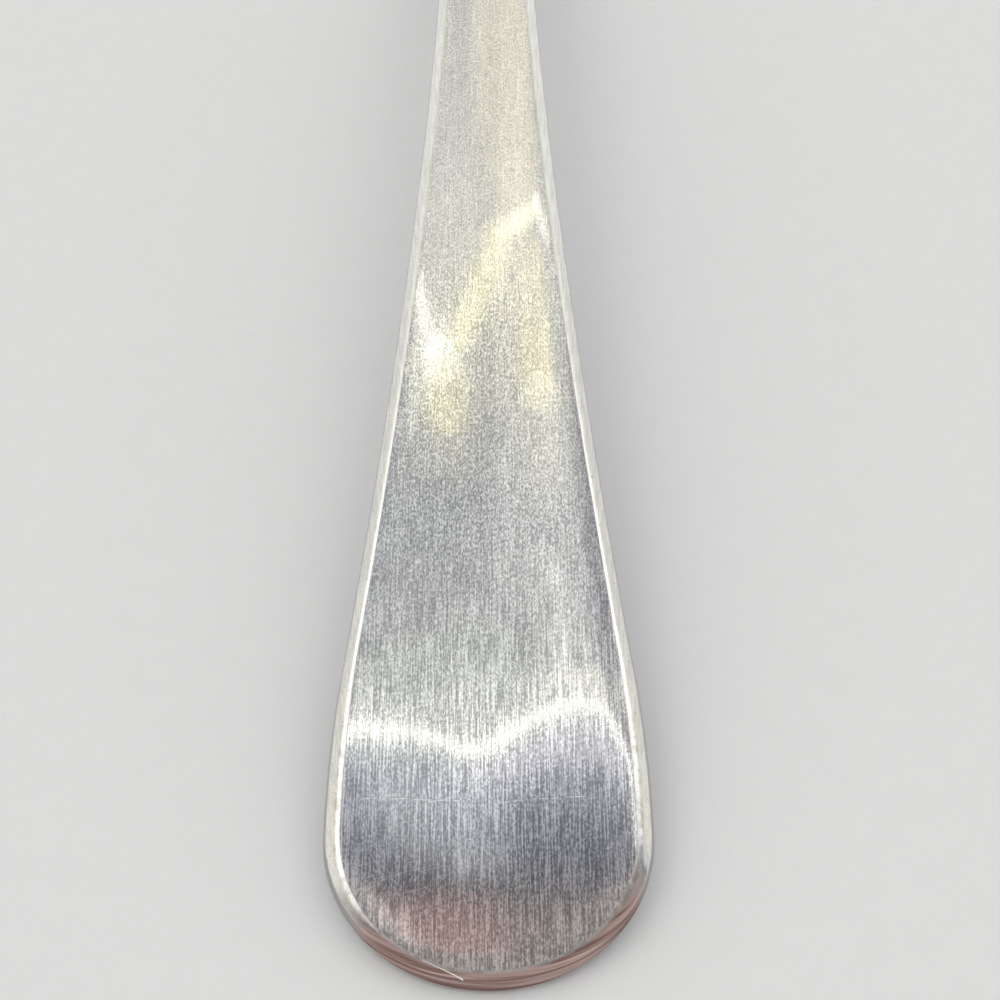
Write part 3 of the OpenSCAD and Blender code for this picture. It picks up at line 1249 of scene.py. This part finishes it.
class ForkSkin:
    """Builds the whole skin of the handle and the root, so that its shading runs through every joint."""

    ROOT = "tine_root"

    def __init__(self, blank: Blank, handle: Handle, head: Head) -> None:
        """Works from the shape and its two sub-assemblies.

        Args:
            blank: The shape.
            handle: Sections of the handle.
            head: Sections of the head.
        """
        self.blank = blank
        self.handle = handle
        self.head = head
        self.skin = Skin()
        self.across = head.across()
        self.caps: dict[str, list[tuple[list[int], float]]] = {}

    def place(self, x: Array, station: Array, depth: Array, full: float) -> Array:
        """Puts points at a depth below the top face, or the same from the back in the lower half.

        Args:
            x: Places across the fork.
            station: Stations of the points.
            depth: Depth below the top face on a section of full depth.
            full: Full depth of that section.

        Returns:
            Rows of X, Y and Z in the frame.
        """
        upper = self.blank.top(x, station) - depth
        lower = self.blank.back(station) + full - depth
        return np.column_stack((x, station + self.blank.tip, np.where(depth < full / 2.0, upper, lower)))

    def section(self, left: Array, right: Array, along: Array, depth: Array, across: Array) -> Array:
        """Closes a section round its two edges, whose points run from the top face to the back.

        Args:
            left: X of the left edge's points.
            right: X of the right edge's points.
            along: Stations of the points of either edge.
            depth: Depth of those points below the top face.
            across: Shares of the width at which the top face and the back have points.

        Returns:
            Points from the left of the top face round to it again.
        """
        level = np.zeros(len(across))
        full = depth[-1]
        return np.concatenate((
            self.place(blend(left[0], right[0], across), level + along[0], level, full),
            self.place(right, along, depth, full),
            self.place(blend(left[-1], right[-1], across), level + along[-1], level + full, full)[::-1],
            self.place(left, along, depth, full)[::-1],
        ))

    def ring(self, station: float, along: Array | None = None) -> Array:
        """One closed section of the handle or the root.

        Args:
            station: Station of the section on the outline.
            along: Station of each point of the edge, where the section isn't flat.

        Returns:
            Points from the left of the top face round to it again.
        """
        inset, depth = self.blank.edge(station).T
        half, moved = self.blank.outline(np.full(len(inset), station) if along is None else along, inset)
        return self.section(-half, half, moved, depth, self.across)

    def cap(self, region: str, ring: list[int], facing: float) -> None:
        """Notes a ring at which a region ends, and which way its flat face looks there."""
        self.caps.setdefault(region, []).append((ring, facing))

    def build(self) -> None:
        """Adds the handle, the flare of the root and the lobes between its slots."""
        rows, regions = self.handle.stations()
        rings = [self.ring(station) for station in rows]
        edge_points = len(self.blank.edge(self.blank.tine_start))
        finishes = section_finishes(len(self.across), edge_points)
        indices = self.skin.tube(rings, regions, finishes)
        for ring, before, after in zip(indices[1:], regions, [*regions[1:], self.ROOT]):
            if before != after:
                self.cap(before, ring, 1.0)
                self.cap(after, ring, -1.0)
        self.skin.tube(self.flare_rings(rings[-1]), [self.ROOT] * self.head.flare_steps, finishes)
        finishes = section_finishes(self.head.lobe_steps - 1, edge_points)
        for lobe in range(self.blank.tine_count):
            lobe_rings = self.skin.tube(self.lobe_rings(lobe), [self.ROOT] * self.head.notch_steps, finishes)
            self.cap(self.ROOT, lobe_rings[-1], 1.0)

    def flare_rings(self, first: Array) -> list[Array]:
        """Sections of the root, from the neck to the ends of the slots.

        Args:
            first: Section where the neck ends.

        Returns:
            Sections that bend gradually to follow the slots' ends.
        """
        blank = self.blank
        apex = blank.tine_start - blank.slot_width / 2.0 - blank.edge(blank.tine_start)[:, 0]
        rings = [first]
        for share in np.linspace(0.0, 1.0, self.head.flare_steps + 1)[1:]:
            along = blend(blank.root_start, apex, share)
            rings.append(self.ring(float(along.mean()), along))
        return rings

    def lobe_rings(self, lobe: int) -> list[Array]:
        """Sections of the root beside the slots, one lobe for each tine.

        Args:
            lobe: Which lobe, with 0 for the left one.

        Returns:
            The sections, from the ends of the slots to the tine.
        """
        blank = self.blank
        inset, depth = blank.edge(blank.tine_start).T
        centres = self.head.slot_centres()
        radius = blank.slot_width / 2.0 + inset
        across = np.linspace(0.0, 1.0, self.head.lobe_steps + 1)[1:-1]
        rings = []
        for turn in np.linspace(0.0, math.pi / 2.0, self.head.notch_steps + 1):
            along = blank.tine_start - radius * math.cos(turn)
            outer, _ = blank.outline(along, inset)
            left = -outer if lobe == 0 else centres[lobe - 1] + radius * math.sin(turn)
            right = outer if lobe == len(centres) else centres[lobe] - radius * math.sin(turn)
            rings.append(self.section(left, right, along, depth, across))
        return rings

    def pieces(self, materials: list[bpy.types.Material]) -> list[SteelPiece]:
        """Cuts the skin into one closed piece for each region.

        Args:
            materials: The finishes, in the order of Finish.

        Returns:
            The pieces, ready to build.
        """
        normals = self.skin.normals()
        at_tines = self.blank.tine_start + self.blank.tip
        level = np.abs(np.array(self.skin.points)[:, 1] - at_tines) < Skin.WELD
        normals[level, 1] = 0.0
        normals[level] = unit(normals[level])
        made = []
        for region, caps in self.caps.items():
            piece = SteelPiece(region, materials)
            piece.take(self.skin, normals)
            for ring, facing in caps:
                piece.cap(self.skin, ring, facing)
            made.append(piece)
        return made


class TineTree:
    """The geometry nodes that give a plain tube the shape of one tine."""

    INPUTS = ("Base Centre", "Point Centre", "Base Width", "Point Width", "Base Thickness", "Point Thickness",
              "Length", "Point Round", "Curve Radius", "Base Height", "Base Place", "Taper Power")

    def __init__(self, face: bpy.types.Material, edge: bpy.types.Material) -> None:
        """Builds the tree with its two finishes.

        Args:
            face: Finish of the top and the back.
            edge: Finish of the edges.
        """
        self.tree = bpy.data.node_groups.new("fork_tine", "GeometryNodeTree")
        self.graph = Graph(self.tree)
        interface = self.tree.interface
        interface.new_socket("Geometry", in_out="INPUT", socket_type="NodeSocketGeometry")
        self.sockets = {name: interface.new_socket(name, in_out="INPUT", socket_type="NodeSocketFloat")
                        for name in self.INPUTS}
        interface.new_socket("Geometry", in_out="OUTPUT", socket_type="NodeSocketGeometry")
        self.given = self.graph.node("NodeGroupInput", {})
        self.join(self.rule(), face, edge)

    def carried(self, name: str, kind: str = "FLOAT") -> Term:
        """Reads what each point or face of the tube carries under a name."""
        return self.graph.term("GeometryNodeInputNamedAttribute", "Attribute", {"Name": name}, data_type=kind)

    def value(self, name: str) -> Term:
        """One of the tree's named inputs."""
        return Term(self.graph, self.given.outputs[name])

    def along(self, first: str, second: str, share: Term) -> Term:
        """A value that goes from one named input to another."""
        return (self.value(second) - self.value(first)) * share + self.value(first)

    def rule(self) -> Term:
        """Lays out the rule of the shape.

        Returns:
            The place of each point of the tine.
        """
        share = self.carried("along")
        length = self.value("Length")
        point_round = self.value("Point Round")
        radius = self.value("Curve Radius")
        tapered = share ** self.value("Taper Power")
        along = share * length
        past = ((along - (length - point_round)) / point_round).held()
        draw = (1.0 - past * past).root()
        reach = (self.along("Base Width", "Point Width", tapered) * 0.5 - self.carried("inset")) * draw
        run = (radius * radius - along * along).root()
        slope = along / run
        depth = self.along("Base Thickness", "Point Thickness", share) * 0.5 * (slope * slope + 1.0).root()
        depth = (depth - self.carried("fall")) * draw
        return self.graph.term("ShaderNodeCombineXYZ", "Vector", {
            "X": self.carried("side") * reach + self.along("Base Centre", "Point Centre", tapered),
            "Y": along + self.value("Base Place"),
            "Z": self.value("Base Height") + (radius - run) + depth * self.carried("facing"),
        })

    def join(self, place: Term, face: bpy.types.Material, edge: bpy.types.Material) -> None:
        """Moves the tube's points to their places and ends the tree with the finishes.

        Args:
            place: The place of each point.
            face: Finish of the top and the back.
            edge: Finish of the edges.
        """
        shape = self.value("Geometry")
        for kind, inputs in (
            ("GeometryNodeSetPosition", {"Position": place}),
            ("GeometryNodeMergeByDistance", {"Distance": Skin.WELD}),
            ("GeometryNodeRealizeInstances", {}),
            ("GeometryNodeSetMaterial", {"Material": face}),
            ("GeometryNodeSetMaterial", {"Material": edge, "Selection": self.carried("edge", "BOOLEAN")}),
        ):
            shape = self.graph.term(kind, "Geometry", {"Geometry": shape, **inputs})
        self.graph.node("NodeGroupOutput", {"Geometry": shape})


@dataclass
class TineMaker:
    """Makes the tines: a plain tube for each one, which the tine tree then shapes."""

    blank: Blank
    head: Head
    tree: TineTree
    NEAR_BASE = 1.0e-7

    def tube(self, name: str) -> bpy.types.Object:
        """A tube whose points carry their places along and round the tine.

        Args:
            name: Name of the piece.

        Returns:
            The tube, closed by a face at its base and by its last ring at the point.
        """
        inset, depth = self.blank.edge(self.blank.tine_start).T
        upper = depth < depth[-1] / 2.0
        fall = np.where(upper, depth, depth[-1] - depth)
        facing = np.where(upper, 1.0, -1.0)
        shares = np.linspace(-1.0, 1.0, self.head.lobe_steps + 1)[1:-1]
        ones = np.ones(len(inset))
        level = np.zeros(len(shares))
        spans = {
            "side": (shares, ones, shares[::-1], -ones),
            "inset": (level + inset[0], inset, level + inset[-1], inset[::-1]),
            "fall": (level, fall, level, fall[::-1]),
            "facing": (level + 1.0, facing, level - 1.0, facing[::-1]),
        }
        rows = self.head.tine_rows()
        count = 2 * (len(shares) + len(inset))
        carried = {key: np.tile(np.concatenate(values), len(rows)) for key, values in spans.items()}
        carried["along"] = np.repeat(rows, count)
        skin = Skin()
        rings = [np.array([(i * MM, row, 0.0) for i in range(count)]) for row in rows]
        base, *_ = skin.tube(rings, [name] * (len(rows) - 1), section_finishes(len(shares), len(inset)))
        mesh = bpy.data.meshes.new(name)
        mesh.from_pydata([tuple(place) for place in skin.points], [], [tuple(base[::-1]), *skin.faces])
        for key, values in carried.items():
            mesh.attributes.new(key, "FLOAT", "POINT").data.foreach_set("value", values)
        polished = [False, *(finish is Finish.EDGE for finish in skin.finishes)]
        mesh.attributes.new("edge", "BOOLEAN", "FACE").data.foreach_set("value", polished)
        return linked(name, mesh)

    def sizes(self, index: int) -> dict[str, float]:
        """Works out the tree's inputs for one tine.

        Args:
            index: Place of the tine in the row, with 0 for the left one.

        Returns:
            The inputs by their names.
        """
        blank = self.blank
        row_place = index - (blank.tine_count - 1) / 2.0
        return {
            "Base Centre": row_place * blank.tine_pitch,
            "Point Centre": row_place * blank.point_span / (blank.tine_count - 1),
            "Base Width": blank.tine_width,
            "Point Width": blank.point_width,
            "Base Thickness": blank.root_thickness,
            "Point Thickness": blank.point_thickness,
            "Length": blank.tine_length,
            "Point Round": blank.point_round,
            "Curve Radius": blank.tine_radius,
            "Base Height": blank.root_thickness / 2.0,
            "Base Place": blank.tine_start + blank.tip,
            "Taper Power": blank.taper_power,
        }

    def build(self, tine: Tine) -> bpy.types.Object:
        """Shapes one tine, turns it into a plain mesh and dresses it.

        Args:
            tine: Which tine.

        Returns:
            The piece that stands for the tine's node.
        """
        index, node = tine.value
        piece = self.tube(node + "_steel")
        modifier = piece.modifiers.new("tine", "NODES")
        modifier.node_group = self.tree.tree
        for name, size in self.sizes(index).items():
            modifier[self.tree.sockets[name].identifier] = size
        shaped = piece.evaluated_get(bpy.context.evaluated_depsgraph_get())
        mesh = bpy.data.meshes.new_from_object(shaped)
        piece.modifiers.remove(modifier)
        piece.data = mesh
        self.dress(mesh)
        settle(piece, node)
        return piece

    def dress(self, mesh: bpy.types.Mesh) -> None:
        """Shades a tine smooth, level with the root where they meet, and maps its brushing.

        Args:
            mesh: The shaped tine, whose flat base stays out of the smooth shading.
        """
        base = self.blank.tine_start + self.blank.tip
        places = np.array([vertex.co for vertex in mesh.vertices])
        at_base = np.abs(places[:, 1] - base) < self.NEAR_BASE
        faces = [list(polygon.vertices) for polygon in mesh.polygons]
        on_base = [bool(at_base[face].all()) for face in faces]
        totals = np.zeros_like(places)
        for polygon, face, flat in zip(mesh.polygons, faces, on_base):
            if not flat:
                totals[face] += np.array(polygon.normal) * polygon.area
        totals[at_base, 1] = 0.0
        normals = unit(totals)
        corners = [(0.0, -1.0, 0.0) if flat else normals[vertex]
                   for face, flat in zip(faces, on_base) for vertex in face]
        set_corner_normals(mesh, np.array(corners))
        set_brush_map(mesh)


@dataclass(frozen=True)
class FloorPaint:
    """A pale matt floor."""

    light: Colour = (0.86, 0.88, 0.9, 1.0)
    dark: Colour = (0.83, 0.85, 0.87, 1.0)
    fleck: Pattern = Pattern((3.0 * MM,) * 3, 3.0)
    roughness: float = 0.9
    sheen: float = 0.1

    def material(self) -> bpy.types.Material:
        """Builds the floor's paint.

        Returns:
            The material.
        """
        paint = Surface("pale_floor")
        return paint.finished({
            "Base Color": paint.mixed(paint.noise(self.fleck), self.dark, self.light),
            "Roughness": self.roughness,
            "Specular IOR Level": self.sheen,
        })


class LampShape(Enum):
    """Outline of a lamp: a bar has square ends, and an oval fades out towards its ends."""

    BAR = "RECTANGLE"
    OVAL = "ELLIPSE"


@dataclass(frozen=True)
class Lamp:
    """A flat slim lamp that runs from one direction to another, as a station of the handle sees them.

    A direction is the angle from the far horizon up and over the fork, then the angle to the right, both
    in degrees. The width is an angle too.
    """

    name: str
    station: float
    start: Pair
    finish: Pair
    width: float
    brightness: float
    colour: Triple
    shape: LampShape = LampShape.OVAL
    reach: float = 0.6
    OVAL_FILL = math.pi / 4.0

    def place(self, direction: Pair, seen_from: Vector) -> Vector:
        """Finds the point that lies in a direction, at the lamp's reach.

        Args:
            direction: Angle over the fork and angle to the right, in degrees.
            seen_from: The point that sees the lamp.

        Returns:
            The point.
        """
        over, side = (math.radians(degrees) for degrees in direction)
        level = math.cos(side)
        way = Vector((math.sin(side), level * math.cos(over), level * math.sin(over)))
        return seen_from + self.reach * way

    def add(self, blank: Blank) -> None:
        """Adds the lamp to the scene, with the power that gives its area the wanted brightness.

        Args:
            blank: The shape that the lamp shines on.
        """
        seen_from = Vector((0.0, self.station + blank.tip, float(blank.top(0.0, self.station))))
        start, finish = (self.place(direction, seen_from) for direction in (self.start, self.finish))
        middle = (start + finish) / 2.0
        along = (finish - start).normalized()
        back = middle - seen_from
        back = (back - along * back.dot(along)).normalized()
        light = bpy.data.lights.new(self.name, "AREA")
        light.shape = self.shape.value
        light.size = (finish - start).length
        light.size_y = self.reach * math.radians(self.width)
        fill = self.OVAL_FILL if self.shape is LampShape.OVAL else 1.0
        light.energy = self.brightness * math.pi * light.size * light.size_y * fill
        light.color = self.colour
        turn = Matrix((along, back.cross(along), back)).transposed()
        linked(self.name, light).matrix_world = Matrix.Translation(middle) @ turn.to_4x4()


STUDIO_LAMPS = (
    Lamp("strip_lamp", 20.0 * MM, (74.1, -14.1), (74.1, 8.6), 0.34, 3.0, (1.0, 0.98, 0.8), LampShape.BAR),
    Lamp("strip_turn", 20.0 * MM, (74.1, 8.6), (75.6, 12.5), 0.45, 3.4, (1.0, 0.99, 0.92), LampShape.BAR),
    Lamp("strip_end", 20.0 * MM, (75.6, 12.5), (80.4, 14.1), 0.6, 3.8, (1.0, 0.99, 0.92), LampShape.BAR),
    Lamp("strip_glow", 22.0 * MM, (72.8, 1.5), (72.8, 10.0), 1.6, 0.35, (1.0, 0.97, 0.76), LampShape.BAR),
    Lamp("strip_shade", 18.0 * MM, (75.5, -1.5), (75.5, 9.5), 1.4, 0.26, (1.0, 0.8, 0.96), LampShape.BAR),
    Lamp("fill_lamp", 12.0 * MM, (76.5, -6.0), (79.5, 0.8), 4.8, 0.34, (1.0, 1.0, 0.98)),
    Lamp("card_left", 5.0 * MM, (81.6, -8.9), (85.7, -5.0), 3.6, 0.34, (1.0, 0.94, 0.92)),
    Lamp("pink_card", 5.0 * MM, (80.6, -3.5), (85.8, -2.7), 7.0, 0.13, (1.0, 0.1, 0.04)),
    Lamp("flare_lamp", 58.0 * MM, (51.7, -7.6), (56.6, -3.0), 1.7, 0.9, (1.0, 0.99, 0.86), LampShape.BAR),
    Lamp("flare_spot", 58.0 * MM, (55.8, -3.8), (58.4, -2.5), 2.5, 0.66, (1.0, 0.98, 0.78)),
    Lamp("flare_side", 52.0 * MM, (53.6, -6.3), (61.2, -5.2), 1.8, 0.42, (1.0, 0.97, 0.8)),
    Lamp("leg_left_high", 50.0 * MM, (56.2, -2.9), (60.9, -2.3), 2.7, 0.44, (1.0, 0.88, 0.32)),
    Lamp("leg_left_low", 50.0 * MM, (58.6, -2.4), (63.6, -2.2), 1.9, 0.16, (1.0, 0.92, 0.4)),
    Lamp("slope_low", 62.0 * MM, (57.0, -2.0), (52.2, -0.1), 1.3, 0.75, (1.0, 0.9, 0.36), LampShape.BAR),
    Lamp("slope_high", 62.0 * MM, (52.2, -0.1), (49.6, 0.6), 1.3, 0.75, (1.0, 0.9, 0.42), LampShape.BAR),
    Lamp("arch_lamp", 62.0 * MM, (49.6, 0.6), (47.9, 4.2), 1.1, 0.85, (1.0, 0.93, 0.54), LampShape.BAR),
    Lamp("peak_lamp", 70.0 * MM, (47.8, 4.0), (50.4, 5.8), 1.3, 0.9, (1.0, 0.99, 0.86), LampShape.BAR),
    Lamp("leg_right_high", 58.0 * MM, (49.5, 3.3), (60.2, 2.8), 2.8, 0.4, (1.0, 0.86, 0.34)),
    Lamp("leg_right_low", 58.0 * MM, (55.0, 3.1), (65.8, 2.9), 2.3, 0.16, (1.0, 0.88, 0.4)),
    Lamp("cream_card", 66.0 * MM, (49.4, 1.2), (55.6, 1.2), 2.9, 0.1, (1.0, 0.86, 0.44)),
    Lamp("beige_card", 80.0 * MM, (29.0, 2.2), (51.0, 2.4), 6.2, 0.24, (1.0, 0.8, 0.36)),
    Lamp("soft_box_low", 26.0 * MM, (64.5, 2.9), (73.2, 2.6), 4.8, 0.19, (1.0, 0.99, 0.94)),
    Lamp("soft_box_right", 38.0 * MM, (56.0, 3.2), (73.5, 3.6), 6.2, 0.19, (1.0, 0.99, 0.92)),
)


@dataclass(frozen=True)
class Studio:
    """The floor, the soft dome of light, the lamps and the camera.

    A stop of the dome is an angle in degrees, from the far horizon up and over to the near one, and its
    light. A stop of its flanks is a place across, from -1 at the left to 1, its light, and its share.
    """

    floor_half: float = 40.0
    floor_drop: float = 0.05 * MM
    camera_height: float = 131.2 * MM
    camera_back: float = 71.13 * MM
    camera_side: float = 0.41 * MM
    camera_pitch: float = math.radians(47.69)
    camera_yaw: float = math.radians(0.307)
    camera_clip: float = 10.0 * MM
    focal_pixels: float = 2000.0
    frame_pixels: float = 1000.0
    sensor_width: float = 36.0
    dome: tuple[tuple[float, Triple], ...] = (
        (0.0, (0.8, 0.8, 0.79)),
        (25.0, (0.92, 0.91, 0.88)),
        (39.0, (0.97, 0.965, 0.9)),
        (44.0, (0.96, 0.955, 0.89)),
        (48.5, (1.05, 1.04, 0.96)),
        (53.0, (1.02, 1.01, 0.92)),
        (57.0, (0.9, 0.9, 0.83)),
        (61.0, (0.75, 0.76, 0.74)),
        (64.0, (0.69, 0.7, 0.71)),
        (68.5, (0.7, 0.71, 0.71)),
        (71.3, (0.8, 0.82, 0.8)),
        (73.2, (1.04, 1.06, 1.02)),
        (75.0, (0.88, 0.92, 0.95)),
        (76.3, (0.52, 0.56, 0.62)),
        (78.7, (0.28, 0.29, 0.345)),
        (80.6, (0.25, 0.25, 0.27)),
        (82.0, (0.46, 0.405, 0.385)),
        (86.0, (0.45, 0.41, 0.39)),
        (98.0, (0.5, 0.48, 0.47)),
        (120.0, (0.62, 0.61, 0.6)),
        (150.0, (0.76, 0.755, 0.745)),
        (180.0, (0.8, 0.8, 0.79)),
    )
    flanks: tuple[tuple[float, Triple, float], ...] = (
        (-1.0, (0.95, 0.95, 0.93), 1.0),
        (-0.88, (1.05, 1.02, 0.95), 1.0),
        (-0.73, (0.98, 0.94, 0.86), 1.0),
        (-0.55, (1.8, 1.79, 1.7), 1.0),
        (-0.33, (1.7, 1.69, 1.6), 1.0),
        (-0.25, (0.6, 0.6, 0.63), 0.65),
        (-0.18, (0.45, 0.46, 0.53), 0.5),
        (-0.1, (0.45, 0.46, 0.53), 0.0),
        (0.09, (0.38, 0.375, 0.43), 0.0),
        (0.15, (0.38, 0.375, 0.43), 0.65),
        (0.23, (0.5, 0.49, 0.52), 0.7),
        (0.32, (1.7, 1.69, 1.6), 1.0),
        (0.55, (1.8, 1.79, 1.7), 1.0),
        (0.73, (0.98, 0.94, 0.86), 1.0),
        (0.88, (1.05, 1.02, 0.95), 1.0),
        (1.0, (0.95, 0.95, 0.93), 1.0),
    )
    flank_start: Range = Range(math.radians(48.0), math.radians(57.0), 0.2, 1.0)
    flank_end: Range = Range(math.radians(74.0), math.radians(96.0), 1.0, 0.0)
    flank_tilt: float = math.radians(20.0)

    def build(self, blank: Blank) -> None:
        """Sets the stage round the fork.

        Args:
            blank: The shape that the stage is set round.
        """
        self.floor()
        self.light_dome()
        for lamp in STUDIO_LAMPS:
            lamp.add(blank)
        self.camera(blank)

    def floor(self) -> None:
        """Lays the floor just under the fork."""
        half = self.floor_half
        mesh = bpy.data.meshes.new("floor")
        corners = [(-half, -half), (half, -half), (half, half), (-half, half)]
        mesh.from_pydata([(x, y, -self.floor_drop) for x, y in corners], [], [(0, 1, 2, 3)])
        mesh.materials.append(FloorPaint().material())
        floor = linked("floor", mesh)

    def light_dome(self) -> None:
        """Lights the world softly, in bands that run from the far horizon over the top to the near one."""
        world = bpy.data.worlds.new("studio_dome")
        world.use_nodes = True
        bpy.context.scene.world = world
        graph = Graph(world.node_tree)
        x, y, z = graph.parts(graph.term("ShaderNodeTexCoord", "Generated", {}))
        angle = z.math("ARCTAN2", y)
        bands = [(degrees / 180.0, (*colour, 1.0)) for degrees, colour in self.dome]
        sides = [((side + 1.0) / 2.0, (*colour, part)) for side, colour, part in self.flanks]
        over, _ = graph.ramp((angle / math.pi).held(), bands)
        across, share = graph.ramp(x * 0.5 + 0.5, sides)
        ahead = angle.ranged(self.flank_start) * (x * self.flank_tilt + angle).ranged(self.flank_end)
        background = world.node_tree.nodes["Background"]
        graph.feed(background.inputs["Color"], graph.mixed(share * ahead, over, across))

    def camera(self, blank: Blank) -> None:
        """Puts the camera past the handle end, looking down along the fork.

        Args:
            blank: The shape that the camera looks at.
        """
        data = bpy.data.cameras.new("photo_view")
        data.sensor_width = self.sensor_width
        data.lens = self.sensor_width * self.focal_pixels / self.frame_pixels
        data.clip_start = self.camera_clip
        camera = linked("photo_view", data)
        camera.location = (self.camera_side, blank.tip - self.camera_back, self.camera_height)
        level = math.cos(self.camera_pitch)
        look = Vector((math.sin(self.camera_yaw) * level, math.cos(self.camera_yaw) * level,
                       -math.sin(self.camera_pitch)))
        camera.rotation_euler = look.to_track_quat("-Z", "Y").to_euler()
        bpy.context.scene.camera = camera


def main() -> None:
    """Builds the fork's pieces, then the studio round them."""
    logging.basicConfig(level=logging.INFO)
    bpy.context.scene.view_settings.view_transform = "Standard"
    blank = Blank.from_frame()
    materials = [SatinSteel(blank.tip).material(), PolishedSteel(blank.tip).material()]
    head = Head(blank)
    fork_skin = ForkSkin(blank, Handle(blank), head)
    fork_skin.build()
    for piece in fork_skin.pieces(materials):
        piece.build()
    tines = TineMaker(blank, head, TineTree(*materials))
    for tine in Tine:
        tines.build(tine)
    Studio().build(blank)


if __name__ == "__main__":
    main()
